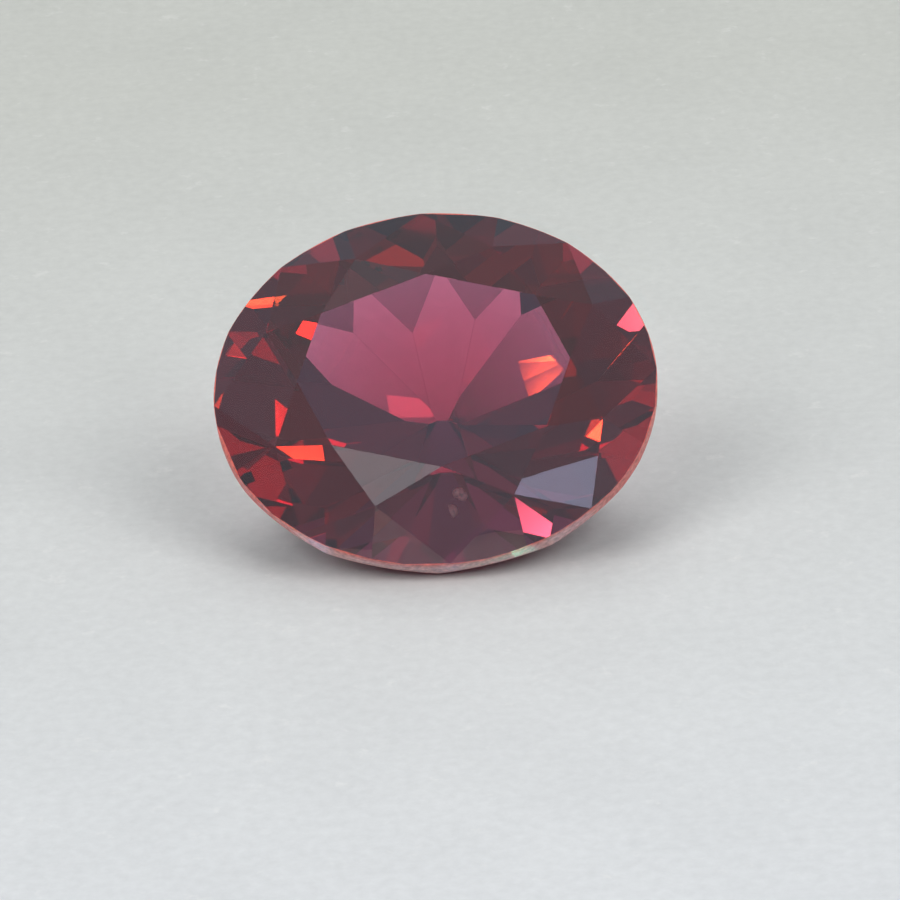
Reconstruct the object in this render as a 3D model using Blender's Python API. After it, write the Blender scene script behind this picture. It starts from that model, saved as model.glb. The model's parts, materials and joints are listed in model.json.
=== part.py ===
"""An oval, brilliant-cut tourmaline: one faceted crystal, lying on a facet of its pavilion.

The stone is cut the way a cutter works. It starts as an oval prism, the preform, and each facet
is a flat ground on it at its own angle. Its own frame has +X along the length, +Y across and +Z out
of the table, with the origin in the middle of the girdle's upper edge. At the end the finished
stone is tipped over onto the facet that it rests on, with the middle of its box's base at the origin.
"""

import math

import bmesh
import bpy
from mathutils import Matrix, Vector

MM = 0.001

# The outline and the heights, from the girdle's upper edge
LENGTH = 9.40 * MM
WIDTH = 8.00 * MM
CROWN_HEIGHT = 0.98 * MM
CULET_DEPTH = 4.61 * MM
GIRDLE_SIDES = 120

# The crown's main facets: one at each end, one at each side and four on the diagonals
END_MAIN_ANGLE = 28.4
SIDE_MAIN_ANGLE = 28.5
DIAGONAL_MAIN_ANGLE = 29.8
DIAGONAL_PLACE = 49.4
TABLE_CORNER_SHIFT = -0.27 * MM

# Where the star facets' outer tips stand, over the girdle's upper edge
SIDE_STAR_HEIGHT = 0.64 * MM
END_STAR_HEIGHT = 0.67 * MM

# The pavilion's twelve main facets, cut a little turned against the crown, round a short keel
# that stands a little off the centre
PAVILION_MAINS = 12
PAVILION_TURN = -3.9
MAIN_SLOPE = 0.846
END_STEEPER = 0.048
KEEL_HALF_LENGTH = 0.15 * MM
KEEL_ALONG = 0.08 * MM
KEEL_ACROSS = 0.06 * MM

# The second row, twelve facets between the mains and the girdle: their slopes as shares of the
# main slope, and the heights of their inner tips on the ridges between the mains
SIDE_ROW_SLOPE = 1.118
DIAGONAL_ROW_SLOPE = 1.173
END_ROW_SLOPE = 1.116
ROW_TIP = {
    15: -2.32 * MM, 45: -2.27 * MM, 75: -2.67 * MM, 105: -2.88 * MM, 135: -2.40 * MM, 165: -2.60 * MM,
    195: -2.15 * MM, 225: -2.07 * MM, 255: -2.35 * MM, 285: -2.48 * MM, 315: -2.06 * MM, 345: -2.33 * MM,
}

# The cutter's own unevenness: facets turned, steeper, or ground less deep, than the rule says
MAIN_TURNED = {
    0: -0.5, 30: -0.6, 60: -0.4, 90: -0.7, 120: 0.7, 150: 0.6, 180: -1.6, 240: 0.6, 270: 0.6, 330: -0.5,
}
MAIN_STEEPER = {
    0: -0.015, 30: 0.019, 60: 0.004, 120: 0.008, 150: -0.032, 180: 0.013, 210: -0.007, 240: 0.016,
    270: -0.007, 330: 0.012,
}
MAIN_SHALLOWER = {
    0: -0.05 * MM, 30: 0.05 * MM, 60: 0.03 * MM, 120: 0.04 * MM, 150: 0.05 * MM, 180: -0.11 * MM,
    210: -0.02 * MM, 240: 0.05 * MM, 270: 0.04 * MM, 300: 0.04 * MM, 330: -0.07 * MM,
}
ROW_TURNED = {45: 1.8, 75: 2.3, 135: -1.5, 165: -0.6}
ROW_STEEPER = {45: 0.006, 75: 0.009, 105: -0.007, 135: 0.006}

# The facet that the stone rests on, by its place round the pavilion
REST_FACET = 270

# Facet junctions are worn to a narrow strip, and meet points closer than this are one
EDGE_WEAR = 0.012 * MM
MEET_POINT = 0.002 * MM
SHARP_EDGE = math.radians(4.0)

STONE_COLOUR = (0.42, 0.03, 0.08, 1.0)
TOURMALINE_INDEX = 1.64

HALF = LENGTH / 2
RATIO = WIDTH / LENGTH
QUARTERS = [(1, 1), (-1, 1), (-1, -1), (1, -1)]


def rim_point(place, height):
    """A point on the oval outline. The place is the oval's own angle, in degrees from +X."""
    turn = math.radians(place)
    return Vector((HALF * math.cos(turn), HALF * RATIO * math.sin(turn), height))


def rim_normal(place):
    """The direction that the outline faces at a place on it."""
    turn = math.radians(place)
    return Vector((math.cos(turn), math.sin(turn) / RATIO, 0.0)).normalized()


def preform():
    """The oval prism that every facet is ground on."""
    stone = bmesh.new()
    tall = 2 * (CROWN_HEIGHT + CULET_DEPTH)
    bmesh.ops.create_cone(
        stone, cap_ends=True, segments=GIRDLE_SIDES, radius1=HALF, radius2=HALF, depth=tall
    )
    bmesh.ops.scale(stone, vec=(1.0, RATIO, 1.0), verts=stone.verts)
    return stone


def grind(stone, point, normal):
    """Grinds off what lies beyond a plane, and leaves a flat facet there."""
    everything = stone.verts[:] + stone.edges[:] + stone.faces[:]
    bmesh.ops.bisect_plane(
        stone, geom=everything, dist=1e-9, plane_co=point, plane_no=normal, clear_outer=True
    )
    rim = [edge for edge in stone.edges if edge.is_boundary]
    if rim:
        bmesh.ops.holes_fill(stone, edges=rim, sides=0)


def grind_through(stone, a, b, c):
    """Grinds the facet that holds three points, facing away from the middle of the stone."""
    inside = Vector((0.0, 0.0, (CROWN_HEIGHT - CULET_DEPTH) / 2))
    normal = (b - a).cross(c - a).normalized()
    if normal.dot(a - inside) < 0:
        normal = -normal
    grind(stone, a, normal)


def crown_main(place, angle):
    """A crown main's point on the girdle and its normal, for its angle against the table."""
    slope = math.radians(angle)
    flat = rim_normal(place) * math.sin(slope)
    return rim_point(place, 0.0), Vector((flat.x, flat.y, math.cos(slope)))


def ridge_point(first, second, height):
    """The point at a height where two neighbouring facets meet."""
    (p, n), (q, m) = first, second
    a, b = p.dot(n) - n.z * height, q.dot(m) - m.z * height
    across = n.x * m.y - n.y * m.x
    return Vector(((a * m.y - b * n.y) / across, (b * n.x - a * m.x) / across, height))


def cut_crown(stone):
    """Eight mains, sixteen upper halves, eight stars and the table, alike in the four quarters."""
    end = crown_main(0, END_MAIN_ANGLE)
    side = crown_main(90, SIDE_MAIN_ANGLE)
    diagonal = crown_main(DIAGONAL_PLACE, DIAGONAL_MAIN_ANGLE)
    table_end = Vector((HALF - CROWN_HEIGHT / math.tan(math.radians(END_MAIN_ANGLE)), 0.0, CROWN_HEIGHT))
    side_run = CROWN_HEIGHT / math.tan(math.radians(SIDE_MAIN_ANGLE))
    table_side = Vector((0.0, WIDTH / 2 - side_run, CROWN_HEIGHT))
    outward = rim_normal(DIAGONAL_PLACE)
    inset = CROWN_HEIGHT / math.tan(math.radians(DIAGONAL_MAIN_ANGLE))
    along = Vector((-outward.y, outward.x, 0.0))
    table_diagonal = rim_point(DIAGONAL_PLACE, CROWN_HEIGHT) - outward * inset + along * TABLE_CORNER_SHIFT
    side_tip = ridge_point(side, diagonal, SIDE_STAR_HEIGHT)
    end_tip = ridge_point(end, diagonal, END_STAR_HEIGHT)
    rim_end, rim_side = rim_point(0, 0.0), rim_point(90, 0.0)
    rim_diagonal = rim_point(DIAGONAL_PLACE, 0.0)
    rim_by_side = rim_point((90 + DIAGONAL_PLACE) / 2, 0.0)
    rim_by_end = rim_point(DIAGONAL_PLACE / 2, 0.0)
    facets = [
        (side_tip, rim_side, rim_by_side),
        (side_tip, rim_diagonal, rim_by_side),
        (end_tip, rim_diagonal, rim_by_end),
        (end_tip, rim_end, rim_by_end),
        (table_side, table_diagonal, side_tip),
        (table_end, table_diagonal, end_tip),
    ]
    for sign in (1, -1):
        grind(stone, Vector((sign * end[0].x, 0.0, 0.0)), Vector((sign * end[1].x, 0.0, end[1].z)))
        grind(stone, Vector((0.0, sign * side[0].y, 0.0)), Vector((0.0, sign * side[1].y, side[1].z)))
    for sx, sy in QUARTERS:
        mirror = Matrix.Diagonal((sx, sy, 1.0))
        grind(stone, mirror @ diagonal[0], mirror @ diagonal[1])
        for a, b, c in facets:
            grind_through(stone, mirror @ a, mirror @ b, mirror @ c)
    grind(stone, Vector((0.0, 0.0, CROWN_HEIGHT)), Vector((0.0, 0.0, 1.0)))


def pavilion_normal(place, slope):
    """Downward normal of a pavilion facet that rises by its slope for each unit along the length."""
    turn = math.radians(place)
    return Vector((slope * math.cos(turn), slope * math.sin(turn) / RATIO, -1.0)).normalized()


def main_facet(place):
    """A pavilion main's point near the culet and its normal."""
    by_the_rule = MAIN_SLOPE * (1 + END_STEEPER * math.cos(2 * math.radians(place)))
    slope = by_the_rule * (1 + MAIN_STEEPER.get(place, 0.0))
    height = -CULET_DEPTH + MAIN_SHALLOWER.get(place, 0.0)
    if place in (90, 270):
        height += MAIN_SLOPE * KEEL_HALF_LENGTH
    turned = place + PAVILION_TURN + MAIN_TURNED.get(place, 0.0)
    return Vector((KEEL_ALONG, KEEL_ACROSS, height)), pavilion_normal(turned, slope)


def row_facet(place):
    """A second-row facet's inner tip, on the ridge between two mains, and its normal."""
    from_end = abs((place + 90) % 180 - 90)
    share = {15: END_ROW_SLOPE, 45: DIAGONAL_ROW_SLOPE, 75: SIDE_ROW_SLOPE}[from_end]
    slope = MAIN_SLOPE * share * (1 + ROW_STEEPER.get(place, 0.0))
    turned = place + PAVILION_TURN + ROW_TURNED.get(place, 0.0)
    half_step = 180 // PAVILION_MAINS
    before = main_facet(place - half_step)
    after = main_facet((place + half_step) % 360)
    return ridge_point(before, after, ROW_TIP[place]), pavilion_normal(turned, slope)


def cut_pavilion(stone):
    """Twelve mains from the short keel, and the row of twelve steeper facets between them."""
    step = 360 // PAVILION_MAINS
    for place in range(0, 360, step):
        grind(stone, *main_facet(place))
    for place in range(step // 2, 360, step):
        grind(stone, *row_facet(place))


def wear_edges(stone):
    """Merges the meet points and takes the sharp edge off the facet junctions."""
    bmesh.ops.remove_doubles(stone, verts=stone.verts, dist=MEET_POINT)
    bmesh.ops.dissolve_degenerate(stone, edges=stone.edges, dist=MEET_POINT)
    bmesh.ops.recalc_face_normals(stone, faces=stone.faces)
    junctions = [e for e in stone.edges if e.is_manifold and e.calc_face_angle() > SHARP_EDGE]
    bmesh.ops.bevel(
        stone, geom=junctions, offset=EDGE_WEAR, offset_type="OFFSET", segments=1,
        profile=0.5, affect="EDGES", clamp_overlap=True
    )
    bmesh.ops.remove_doubles(stone, verts=stone.verts, dist=MEET_POINT)


def lay_down(stone):
    """Tips the stone onto its resting facet, with its length along +X and its box's base at the origin."""
    up = -main_facet(REST_FACET)[1]
    length = Vector((1.0, 0.0, 0.0))
    length = (length - up * length.dot(up)).normalized()
    across = up.cross(length)
    stone.transform(Matrix((length, across, up)).to_4x4())
    xs = [v.co.x for v in stone.verts]
    ys = [v.co.y for v in stone.verts]
    zs = [v.co.z for v in stone.verts]
    middle = Vector(((min(xs) + max(xs)) / 2, (min(ys) + max(ys)) / 2, min(zs)))
    bmesh.ops.translate(stone, vec=-middle, verts=stone.verts)


def stone_material():
    """Clear raspberry-red tourmaline."""
    material = bpy.data.materials.new("tourmaline")
    material.use_nodes = True
    shader = material.node_tree.nodes["Principled BSDF"]
    shader.inputs["Base Color"].default_value = STONE_COLOUR
    shader.inputs["Roughness"].default_value = 0.02
    shader.inputs["Metallic"].default_value = 0.0
    shader.inputs["IOR"].default_value = TOURMALINE_INDEX
    shader.inputs["Transmission Weight"].default_value = 1.0
    return material


for item in list(bpy.data.objects):
    bpy.data.objects.remove(item, do_unlink=True)
gem = preform()
cut_crown(gem)
cut_pavilion(gem)
wear_edges(gem)
lay_down(gem)
mesh = bpy.data.meshes.new("gemstone")
gem.to_mesh(mesh)
gem.free()
mesh.materials.append(stone_material())
crystal = bpy.data.objects.new("gemstone", mesh)
group = bpy.data.collections.new("tourmaline_gemstone")
bpy.context.scene.collection.children.link(group)
group.objects.link(crystal)
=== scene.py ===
"""The finish, the light and the camera for an oval-cut tourmaline lying on a pale table top.

The crystal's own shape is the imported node. This script gives it its clear red body, its polish and
the small flaws inside it, and sets it on a plain floor in soft studio light.
"""

import json
import math

import bmesh
import bpy
from mathutils import Euler, Matrix, Vector


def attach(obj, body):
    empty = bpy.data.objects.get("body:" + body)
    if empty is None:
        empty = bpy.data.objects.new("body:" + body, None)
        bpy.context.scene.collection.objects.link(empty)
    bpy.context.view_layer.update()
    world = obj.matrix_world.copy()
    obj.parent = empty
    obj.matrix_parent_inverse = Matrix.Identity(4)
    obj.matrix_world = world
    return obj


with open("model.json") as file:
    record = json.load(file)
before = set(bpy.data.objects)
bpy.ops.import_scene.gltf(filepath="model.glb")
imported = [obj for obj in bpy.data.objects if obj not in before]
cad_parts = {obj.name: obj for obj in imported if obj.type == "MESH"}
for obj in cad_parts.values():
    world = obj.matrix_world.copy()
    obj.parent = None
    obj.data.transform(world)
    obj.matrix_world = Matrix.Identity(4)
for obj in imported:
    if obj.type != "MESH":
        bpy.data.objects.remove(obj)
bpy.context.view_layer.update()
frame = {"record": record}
bpy.ops.object.select_all(action="DESELECT")

# The gemstone: one faceted crystal of raspberry-red tourmaline.
# It is clear right through, with polished facets.
# The body colour is absorption, so it deepens with the light's way through the stone.
MM = 0.001
LENGTH = 9.40 * MM
WIDTH = 8.00 * MM
CROWN_HEIGHT = 0.98 * MM
GIRDLE_THICKNESS = 0.57 * MM
PAVILION_MAINS = 12
PAVILION_TURN = -3.9
TOURMALINE_INDEX = 1.64
ABSORPTION_DENSITY = 700.0
ABSORPTION_COLOUR = (0.935, 0.12, 0.36, 1.0)
HAZE_COLOUR = (0.76, 0.88, 1.0, 1.0)
CLEAR_SHARE = 0.955
# The pavilion's second row gets a painted shade: its colour is this share of the clear colour
ROW_PAINTED_SHADE = 0.42
gem = bpy.data.objects["gemstone"]

# What lies at least this far out, in the square of the reach from the middle to the oval outline
GIRDLE_FROM = 0.985

# The stone's own frame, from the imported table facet: +X along the length, +Z out of the table
table = next(mount for mount in frame["record"]["mounts"] if mount["name"] == "table")
stone_up = Vector(table["axis"]).normalized()
stone_length = Vector((1.0, 0.0, 0.0))
stone_length = (stone_length - stone_up * stone_length.dot(stone_up)).normalized()
stone_across = stone_up.cross(stone_length)
into_stone = Matrix((stone_length, stone_across, stone_up))
girdle_middle = Vector(table["pos_m"]) - stone_up * CROWN_HEIGHT
stone_turn = into_stone.to_euler()
stone_shift = into_stone @ -girdle_middle


def new_finish(name):
    """A new material, with its node tree and its shader."""
    finish = bpy.data.materials.new(name)
    finish.use_nodes = True
    return finish, finish.node_tree, finish.node_tree.nodes["Principled BSDF"]


def feed(tree, slot, value):
    """Links a slot to another node's output, or sets it to a plain value."""
    if isinstance(value, bpy.types.NodeSocket):
        tree.links.new(value, slot)
    else:
        slot.default_value = value


def node(tree, kind, inputs=(), **settings):
    """Adds a node, sets its properties, and feeds its inputs in order."""
    made = tree.nodes.new(kind)
    for key, value in settings.items():
        setattr(made, key, value)
    for slot, value in zip(made.inputs, inputs):
        if value is not None:
            feed(tree, slot, value)
    return made.outputs[0]


def maths(tree, operation, *values):
    """One step of arithmetic."""
    return node(tree, "ShaderNodeMath", values, operation=operation)


def split(tree, vector):
    """The three parts of a vector."""
    parts = tree.nodes.new("ShaderNodeSeparateXYZ")
    feed(tree, parts.inputs[0], vector)
    return parts.outputs


def place_in_stone(tree, place):
    """A place on the piece, along the stone's length, across it and up out of its table."""
    moved = node(tree, "ShaderNodeMapping", (place, stone_shift, stone_turn), vector_type="POINT")
    return split(tree, moved)


def mix_colours(tree, share, first, second, label=""):
    """The first colour where the share is 0, and the second where it is 1."""
    made = tree.nodes.new("ShaderNodeMix")
    made.data_type = "RGBA"
    made.label = label
    feed(tree, made.inputs["Factor"], share)
    feed(tree, made.inputs["A"], first)
    feed(tree, made.inputs["B"], second)
    return made.outputs["Result"]


crystal, tree, shader = new_finish("tourmaline")
coordinates = tree.nodes.new("ShaderNodeTexCoord")
along, across, above = place_in_stone(tree, coordinates.outputs["Object"])
normal = coordinates.outputs["Normal"]
facing = split(tree, node(tree, "ShaderNodeMapping", (normal, None, stone_turn), vector_type="POINT"))

# The girdle: all that lies within a hair of the oval outline
out_x = maths(tree, "DIVIDE", along, LENGTH / 2)
out_y = maths(tree, "DIVIDE", across, WIDTH / 2)
out_square = maths(tree, "ADD", maths(tree, "MULTIPLY", out_x, out_x), maths(tree, "MULTIPLY", out_y, out_y))
on_girdle = maths(tree, "GREATER_THAN", out_square, GIRDLE_FROM)
off_girdle = maths(tree, "SUBTRACT", 1.0, on_girdle)

# The pavilion's second row: below the girdle, and facing half a step away from the mains
facing_across = maths(tree, "MULTIPLY", facing[1], WIDTH / LENGTH)
around = maths(tree, "ARCTAN2", facing_across, facing[0])
from_main = maths(tree, "SUBTRACT", around, math.radians(PAVILION_TURN))
steps = maths(tree, "MULTIPLY", from_main, PAVILION_MAINS)
off_main = maths(tree, "LESS_THAN", maths(tree, "COSINE", steps), 0.0)
below = maths(tree, "LESS_THAN", above, -GIRDLE_THICKNESS)
second_row = maths(tree, "MULTIPLY", maths(tree, "MULTIPLY", off_main, below), off_girdle)

# Painted shade: the second row's facets get a darker colour, so that they pass less light and look darker
painted_row_shade_colour = (*(part * ROW_PAINTED_SHADE for part in HAZE_COLOUR[:3]), 1.0)
feed(tree, shader.inputs["Base Color"], mix_colours(tree, second_row, HAZE_COLOUR, painted_row_shade_colour))
shader.inputs["Roughness"].default_value = 0.0
shader.inputs["Metallic"].default_value = 0.0
shader.inputs["IOR"].default_value = TOURMALINE_INDEX
shader.inputs["Transmission Weight"].default_value = CLEAR_SHARE
absorption = tree.nodes.new("ShaderNodeVolumeAbsorption")
absorption.inputs["Color"].default_value = ABSORPTION_COLOUR
absorption.inputs["Density"].default_value = ABSORPTION_DENSITY
tree.links.new(absorption.outputs["Volume"], tree.nodes["Material Output"].inputs["Volume"])
gem.data.materials.clear()
gem.data.materials.append(crystal)

# The girdle's ground skin: the fine frosting that the grinding wheel left round the stone's edge.
# It is a copy of the girdle's own faces, a few thousandths of a millimetre thick, and half see-through.
# Its upper edge and its two ends are painted redder, a painted glow for the light from inside the stone that
# comes out there.
SKIN_THICKNESS = 0.004 * MM
SKIN_MERGE = 0.0005 * MM
SKIN_COLOUR = (1.0, 0.62, 0.60, 1.0)
SKIN_PAINTED_GLOW_COLOUR = (1.0, 0.15, 0.10, 1.0)
SKIN_ROUGHNESS = 0.5
bpy.ops.mesh.primitive_plane_add()
skin = bpy.context.object
skin.name = "girdle_skin"
band = bmesh.new()
band.from_mesh(gem.data)
other_faces = []
for face in band.faces:
    centre = into_stone @ (face.calc_center_median() - girdle_middle)
    if (centre.x / (LENGTH / 2)) ** 2 + (centre.y / (WIDTH / 2)) ** 2 < GIRDLE_FROM:
        other_faces.append(face)
bmesh.ops.delete(band, geom=other_faces, context="FACES")
bmesh.ops.remove_doubles(band, verts=band.verts, dist=SKIN_MERGE)
bmesh.ops.recalc_face_normals(band, faces=band.faces)
band.to_mesh(skin.data)
band.free()
solidify = skin.modifiers.new("thickness", "SOLIDIFY")
solidify.thickness = SKIN_THICKNESS
solidify.offset = 1.0
bpy.ops.object.modifier_apply(modifier="thickness")

# Each noise is its scale, detail and roughness. Each fade is where it starts and ends, and its values there.
GRINDING = (9000.0, 3.0, 0.6)
GRINDING_COVER = (0.35, 0.70, 0.40, 0.75)
EDGE_FADE = (-0.22 * MM, 0.02 * MM, 0.0, 1.0)
END_FADE = (0.25 * LENGTH, 0.42 * LENGTH, 0.0, 0.75)


def noise(tree, place, scale, detail, roughness):
    """A soft random pattern on the piece."""
    return node(tree, "ShaderNodeTexNoise", (place, None, scale, detail, roughness))


def fade(tree, value, start, end, at_start, at_end):
    """A value that goes evenly from one number to another, and stays at them outside."""
    return node(tree, "ShaderNodeMapRange", (value, start, end, at_start, at_end))


frosting, tree, shader = new_finish("ground_girdle")
surface = tree.nodes.new("ShaderNodeTexCoord").outputs["Object"]
along, across, above = place_in_stone(tree, surface)
# Painted light: the upper edge and the two ends are mixed towards the red glow colour
upper_edge = fade(tree, above, *EDGE_FADE)
painted_end_glow = fade(tree, maths(tree, "ABSOLUTE", along), *END_FADE)
painted_glow_share = maths(tree, "MAXIMUM", upper_edge, painted_end_glow)
feed(tree, shader.inputs["Base Color"], mix_colours(tree, painted_glow_share, SKIN_COLOUR, SKIN_PAINTED_GLOW_COLOUR))
feed(tree, shader.inputs["Alpha"], fade(tree, noise(tree, surface, *GRINDING), *GRINDING_COVER))
shader.inputs["Roughness"].default_value = SKIN_ROUGHNESS
skin.data.materials.append(frosting)
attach(skin, "root")

# The healed cracks: three tiny curved veils under the crown's front, which scatter a little light.
# Each is a thin bowl-shaped flake, paler than the crystal around it.
# Each row is a name, the place in the stone and the radius in millimetres, and the tilt in degrees.
VEILS = [
    ("upper", (0.38, -2.56, 0.25), 0.09, (60, 30, 0)),
    ("middle", (0.48, -2.62, 0.22), 0.07, (70, -30, 40)),
    ("lower", (0.29, -2.80, 0.09), 0.10, (55, 60, 70)),
]
VEIL_THICKNESS = 0.012 * MM
VEIL_COLOUR = (1.0, 0.55, 0.45, 1.0)
VEIL_ROUGHNESS = 0.35
VEIL_CLOUD = (16000.0, 2.0, 0.5)
VEIL_COVER = (0.35, 0.55, 0.6, 1.0)

# A bowl is the cap of a sphere of this many of its own radii, and its middle is this many radii up
BOWL_SPHERE = 1.4
BOWL_MIDDLE = 1.2

veil, tree, shader = new_finish("healed_crack")
surface = tree.nodes.new("ShaderNodeTexCoord").outputs["Object"]
feed(tree, shader.inputs["Alpha"], fade(tree, noise(tree, surface, *VEIL_CLOUD), *VEIL_COVER))
shader.inputs["Base Color"].default_value = VEIL_COLOUR
shader.inputs["Roughness"].default_value = VEIL_ROUGHNESS
for name, inside, radius, angles in VEILS:
    bpy.ops.mesh.primitive_uv_sphere_add(segments=20, ring_count=14, radius=radius * BOWL_SPHERE * MM)
    crack = bpy.context.object
    crack.name = "healed_crack_" + name
    bpy.ops.object.mode_set(mode="EDIT")
    bpy.ops.mesh.select_all(action="SELECT")
    bpy.ops.mesh.bisect(plane_co=(0, 0, radius * MM), plane_no=(0, 0, 1), clear_inner=True)
    bpy.ops.mesh.select_all(action="SELECT")
    bpy.ops.transform.translate(value=(0, 0, -radius * BOWL_MIDDLE * MM))
    bpy.ops.object.mode_set(mode="OBJECT")
    solidify = crack.modifiers.new("thickness", "SOLIDIFY")
    solidify.thickness = VEIL_THICKNESS
    solidify.offset = 0.0
    bpy.ops.object.modifier_apply(modifier="thickness")
    tilt = Euler([math.radians(angle) for angle in angles]).to_matrix()
    centre = girdle_middle + into_stone.transposed() @ (Vector(inside) * MM)
    crack.data.transform(Matrix.Translation(centre) @ (into_stone.transposed() @ tilt).to_4x4())
    crack.data.materials.append(veil)
    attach(crack, "root")

# The floor: a plain, pale table top, matt, with the stone lying on it.
# It is painted a little darker and warmer towards the back, a painted falloff of the light, and has a fine
# grain and a few pale specks.
FLOOR_RADIUS = 600 * MM
CONTACT_GAP = 0.02 * MM
NEAR_LIT_COLOUR = (0.70, 0.725, 0.76, 1.0)
FAR_SHADED_COLOUR = (0.57, 0.585, 0.56, 1.0)
FLECK_COLOUR = (0.90, 0.90, 0.90, 1.0)
FLOOR_ROUGHNESS = 0.6
NEAR_TO_FAR = (-19 * MM, 25 * MM, 0.0, 1.0)
GRAIN = (3500.0, 3.0, 0.6)
GRAIN_SHADE = (0.25, 0.75, 0.95, 1.05)
GRAIN_DEPTH = 0.02 * MM
GRAIN_STRENGTH = 0.25
MOTTLE = (260.0, 2.0, 0.5)
MOTTLE_SHADE = (0.3, 0.7, 0.98, 1.02)
FLECKS = (1400.0, 3.0, 0.7)
FLECK_COVER = (0.62, 0.72, 0.0, 0.2)


def scaled(tree, vector, factor, label=""):
    """A vector or a colour, times a factor."""
    made = tree.nodes.new("ShaderNodeVectorMath")
    made.operation = "SCALE"
    made.label = label
    feed(tree, made.inputs[0], vector)
    feed(tree, made.inputs["Scale"], factor)
    return made.outputs[0]


floor_place = (0, 0, -CONTACT_GAP)
bpy.ops.mesh.primitive_circle_add(vertices=96, radius=FLOOR_RADIUS, fill_type="NGON", location=floor_place)
floor = bpy.context.object
floor.name = "floor"
table_top, tree, shader = new_finish("pale_table_top")
surface = tree.nodes.new("ShaderNodeTexCoord").outputs["Object"]
# Painted light: the colour goes from the lit near tone to a darker, warmer far tone, as the light falls off
# towards the back
depth = fade(tree, split(tree, surface)[1], *NEAR_TO_FAR)
painted_light_grade = mix_colours(tree, depth, NEAR_LIT_COLOUR, FAR_SHADED_COLOUR)
grain = noise(tree, surface, *GRAIN)
grain_shade = fade(tree, grain, *GRAIN_SHADE)
mottle_shade = fade(tree, noise(tree, surface, *MOTTLE), *MOTTLE_SHADE)
toned = scaled(tree, painted_light_grade, maths(tree, "MULTIPLY", grain_shade, mottle_shade))
flecks = fade(tree, noise(tree, surface, *FLECKS), *FLECK_COVER)
feed(tree, shader.inputs["Base Color"], mix_colours(tree, flecks, toned, FLECK_COLOUR))
bump = tree.nodes.new("ShaderNodeBump")
bump.inputs["Strength"].default_value = GRAIN_STRENGTH
bump.inputs["Distance"].default_value = GRAIN_DEPTH
tree.links.new(grain, bump.inputs["Height"])
tree.links.new(bump.outputs["Normal"], shader.inputs["Normal"])
shader.inputs["Roughness"].default_value = FLOOR_ROUGHNESS
floor.data.materials.append(table_top)

# The room: dim and cool, with small lamps, mostly warm, that the facets pick up as sparks.
# What is matt sees it as one even, pale tone instead, so that it is lit without speckles.
# Directions are degrees round from straight away from the camera, clockwise, and degrees up.
ROOM_LOW = (0.15, 0.30, 0.39, 1.0)
ROOM_HIGH = (0.13, 0.16, 0.18, 1.0)
LOW_TO_HIGH = (0.62, 0.72, 0.0, 1.0)
PATCHES = (3.4, 1.0, 0.5)
PATCH_STRENGTH = (0.35, 0.65, 0.55, 1.45)
AMBIENT = (0.08, 0.08, 0.08, 1.0)
THROUGH_GLASS = (0.40, 0.41, 0.42, 1.0)

# Each wall patch is a name, its direction, its reach and its edge's softness in degrees, and its colour
WALLS = [
    ("ceiling", -176, 69, 9, 4, (0.10, 0.36, 0.58)),
    ("far ceiling", -30, 74, 9, 5, (0.20, 0.45, 0.50)),
    ("near wall", 175, 8, 32, 10, (0.14, 0.33, 0.45)),
]

# Only about a thousandth of a lamp's green comes through the stone, so their green is strong.
# They show only to light that has gone through the stone.
WARM = (1.0, 10.0, 0.8)
ORANGE = (1.0, 28.0, 1.2)
YELLOW = (1.0, 50.0, 1.5)
WHITE = (1.0, 45.0, 9.0)
PINK = (1.0, 3.0, 1.6)

# Each lamp is a name, its direction, its size in degrees, its brightness and its tone
LAMPS = [
    ("left front", 169, 29, 0.9, 20, ORANGE),
    ("left low", 171, 21, 0.8, 8, WARM),
    ("low front", -162, 1, 1.0, 20, ORANGE),
    ("side front", -146, 9, 1.2, 3, ORANGE),
    ("right high", 104, 61, 1.2, 14, ORANGE),
    ("right higher", 95, 70, 0.8, 3, YELLOW),
    ("front high", 179, 45, 0.8, 4, WARM),
    ("front faint", 165, 43, 1.2, 5, WARM),
    ("front white", 146, 41, 1.0, 6, WHITE),
    ("right white", 141, 50, 0.8, 2.5, WHITE),
    ("side low", -120, 26, 1.2, 6, PINK),
    ("upper", 151, 59, 1.5, 0.5, WARM),
    ("front", -161, 40, 0.9, 8, WARM),
    ("spark", -158.0, 52.5, 0.25, 20, YELLOW),
    ("near left", -165, 15, 1.2, 10, WARM),
    ("low left", -165, 4, 1.8, 6, WARM),
    ("far left", -41, 36, 0.9, 12, PINK),
    ("left back", -61, 35, 0.8, 40, WARM),
]


def direction(azimuth, elevation):
    """A direction seen from the stone: azimuth 0 is away from the camera, and 90 its right."""
    turn = math.radians(azimuth)
    rise = math.radians(elevation)
    return Vector((math.sin(turn) * math.cos(rise), math.cos(turn) * math.cos(rise), math.sin(rise)))


def nearness(tree, sight, azimuth, elevation):
    """The cosine of the angle between a line of sight and a direction."""
    made = tree.nodes.new("ShaderNodeVectorMath")
    made.operation = "DOT_PRODUCT"
    feed(tree, made.inputs[0], sight)
    feed(tree, made.inputs[1], direction(azimuth, elevation))
    return made.outputs["Value"]


scene = bpy.context.scene
world = bpy.data.worlds.new("room")
scene.world = world
world.use_nodes = True
world.cycles.sampling_method = "NONE"
tree = world.node_tree
background = tree.nodes["Background"]
sight = tree.nodes.new("ShaderNodeTexCoord").outputs["Generated"]
high = fade(tree, split(tree, sight)[2], *LOW_TO_HIGH)
shelf = mix_colours(tree, high, ROOM_LOW, ROOM_HIGH)
colour = scaled(tree, shelf, fade(tree, noise(tree, sight, *PATCHES), *PATCH_STRENGTH))
for name, azimuth, elevation, reach, softness, wall in WALLS:
    inner = math.cos(math.radians(reach - softness))
    outer = math.cos(math.radians(reach + softness))
    near = nearness(tree, sight, azimuth, elevation)
    share = node(tree, "ShaderNodeMapRange", (near, outer, inner), interpolation_type="SMOOTHSTEP")
    colour = mix_colours(tree, share, colour, (*wall, 1.0), label=name)

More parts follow.
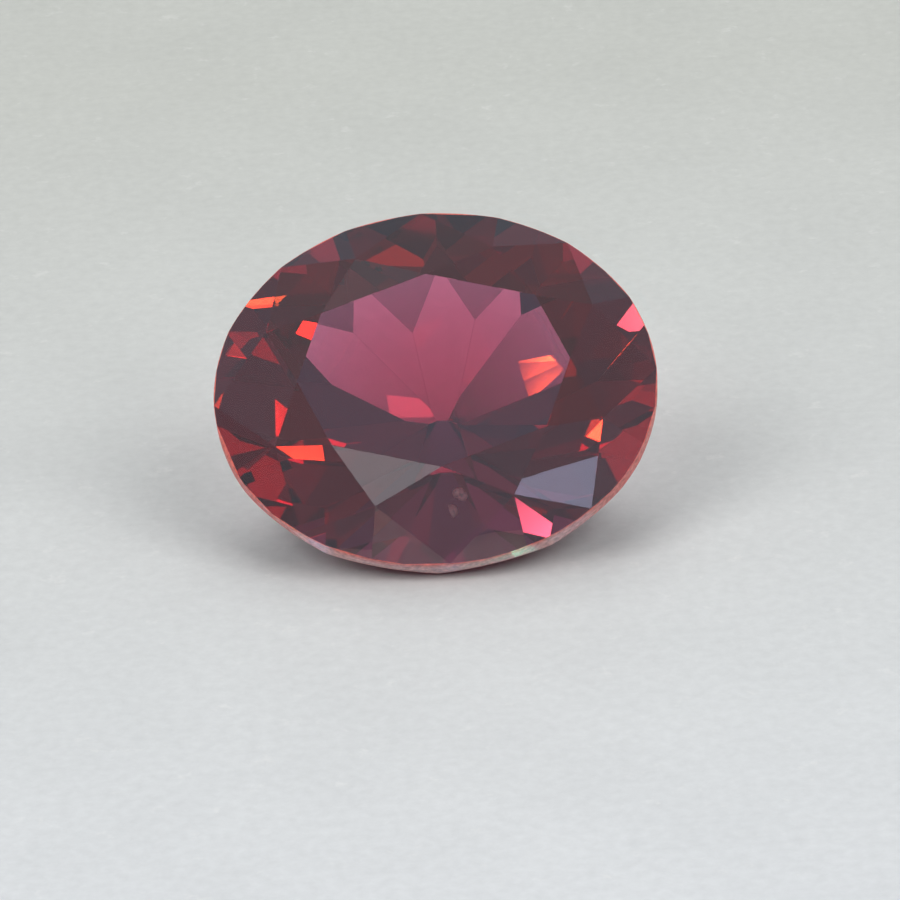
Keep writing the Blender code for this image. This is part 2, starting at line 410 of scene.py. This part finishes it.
# A transmission depth above 0 is light that went through the stone, and a diffuse depth above 0 is
# light that came off something matt
path = tree.nodes.new("ShaderNodeLightPath")
through_stone = maths(tree, "GREATER_THAN", path.outputs["Transmission Depth"], 0.5)
scattered = maths(tree, "GREATER_THAN", path.outputs["Diffuse Depth"], 0.5)
for name, azimuth, elevation, size, brightness, tone in LAMPS:
    narrow = 2.0 / math.radians(size) ** 2
    near = nearness(tree, sight, azimuth, elevation)
    falloff = maths(tree, "EXPONENT", maths(tree, "MULTIPLY_ADD", near, narrow, -narrow))
    shown = maths(tree, "MULTIPLY", falloff, through_stone)
    lamp_glow = scaled(tree, Vector(tone) * brightness, shown, label=name)
    colour = node(tree, "ShaderNodeVectorMath", (colour, lamp_glow), operation="ADD")
even_tone = mix_colours(tree, path.outputs["Is Transmission Ray"], AMBIENT, THROUGH_GLASS)
feed(tree, background.inputs["Color"], mix_colours(tree, scattered, colour, even_tone))

# The lights: two pale cards that the crown mirrors, and soft boxes in front, behind and overhead.
# The cards don't light what is matt, and the soft boxes light nothing else.
# Each row is a name, the direction, the spread in degrees and the brightness.
LIGHT_DISTANCE = 600 * MM
BOX_COLOUR = (1.0, 0.99, 0.97)
CARDS = [
    ("card", -166, 32, (6, 4), 1.7, (0.88, 0.98, 1.0)),
    ("lavender_card", 143, 11.45, (14, 8), 3.2, (0.62, 0.70, 1.0)),
]
BOXES = [
    ("left_box", -125, 45, 35, 3.3),
    ("right_box", 125, 45, 35, 3.3),
    ("back_box", 0, 62, 35, 2.4),
    ("overhead_box", 0, 90, 120, 0.28),
]


def soft_light(name, azimuth, elevation, spread, brightness, colour):
    """A soft box in a direction seen from the stone, as wide and high as its spread in degrees."""
    towards = direction(azimuth, elevation)
    data = bpy.data.lights.new(name, "AREA")
    data.shape = "RECTANGLE"
    data.size = 2 * LIGHT_DISTANCE * math.tan(math.radians(spread[0] / 2))
    data.size_y = 2 * LIGHT_DISTANCE * math.tan(math.radians(spread[1] / 2))
    data.energy = brightness * math.pi * data.size * data.size_y
    data.color = colour
    light = bpy.data.objects.new(name, data)
    scene.collection.objects.link(light)
    light.location = towards * LIGHT_DISTANCE
    light.rotation_euler = towards.to_track_quat("Z", "Y").to_euler()
    return light


for name, azimuth, elevation, spread, brightness, colour in CARDS:
    card = soft_light(name, azimuth, elevation, spread, brightness, colour)
    card.visible_diffuse = False
for name, azimuth, elevation, spread, brightness in BOXES:
    box = soft_light(name, azimuth, elevation, (spread, spread), brightness, BOX_COLOUR)
    box.visible_glossy = False
    box.visible_transmission = False

# The pink glow behind the stone, where the light that it lets through falls on the table
GLOW_PLACE = Vector((0.3 * MM, 5.5 * MM, 0.0))
GLOW_COLOUR = (1.0, 0.78, 0.82)
GLOW_ENERGY = 0.15
GLOW_CONE = 6.0
GLOW_EDGE = 0.8
GLOW_SOFTNESS = 3 * MM
GLOW_RISE = 68
GLOW_DISTANCE = 100 * MM
glow = bpy.data.lights.new("let_through", "SPOT")
glow.energy = GLOW_ENERGY
glow.color = GLOW_COLOUR
glow.spot_size = math.radians(GLOW_CONE)
glow.spot_blend = GLOW_EDGE
glow.shadow_soft_size = GLOW_SOFTNESS
let_through = bpy.data.objects.new("let_through", glow)
scene.collection.objects.link(let_through)
let_through.location = GLOW_PLACE + direction(0, GLOW_RISE) * GLOW_DISTANCE
let_through.rotation_euler = direction(0, GLOW_RISE).to_track_quat("Z", "Y").to_euler()
let_through.visible_glossy = False
let_through.visible_transmission = False

# The camera: close above the stone and to its front, looking down at it.
# Its angles are in degrees, and its lens and sensor in millimetres.
AIM = Vector((0.28 * MM, 3.329 * MM, 0.0))
CAMERA_DISTANCE = 145.58 * MM
CAMERA_RISE = 25.567
CAMERA_TURN = 0.690
CAMERA_ROLL = -2.874
CAMERA_LENS = 266.51
SENSOR_WIDTH = 36.0
NEAREST_SEEN = 1 * MM
FARTHEST_SEEN = 10.0
bpy.ops.object.camera_add()
camera = bpy.context.object
camera.name = "camera"
aim_turn = Euler((math.radians(90 - CAMERA_RISE), 0.0, math.radians(-CAMERA_TURN))).to_matrix()
roll = Matrix.Rotation(math.radians(CAMERA_ROLL), 3, "Z")
pose = (aim_turn @ roll).to_4x4()
pose.translation = AIM + aim_turn @ Vector((0.0, 0.0, CAMERA_DISTANCE))
camera.matrix_world = pose
camera.data.sensor_width = SENSOR_WIDTH
camera.data.lens = CAMERA_LENS
camera.data.clip_start = NEAREST_SEEN
camera.data.clip_end = FARTHEST_SEEN
scene.camera = camera

# Light is followed through many facets before it is given up
BOUNCES = 24
scene.view_settings.view_transform = "Standard"
scene.cycles.max_bounces = BOUNCES
scene.cycles.glossy_bounces = BOUNCES
scene.cycles.transmission_bounces = BOUNCES
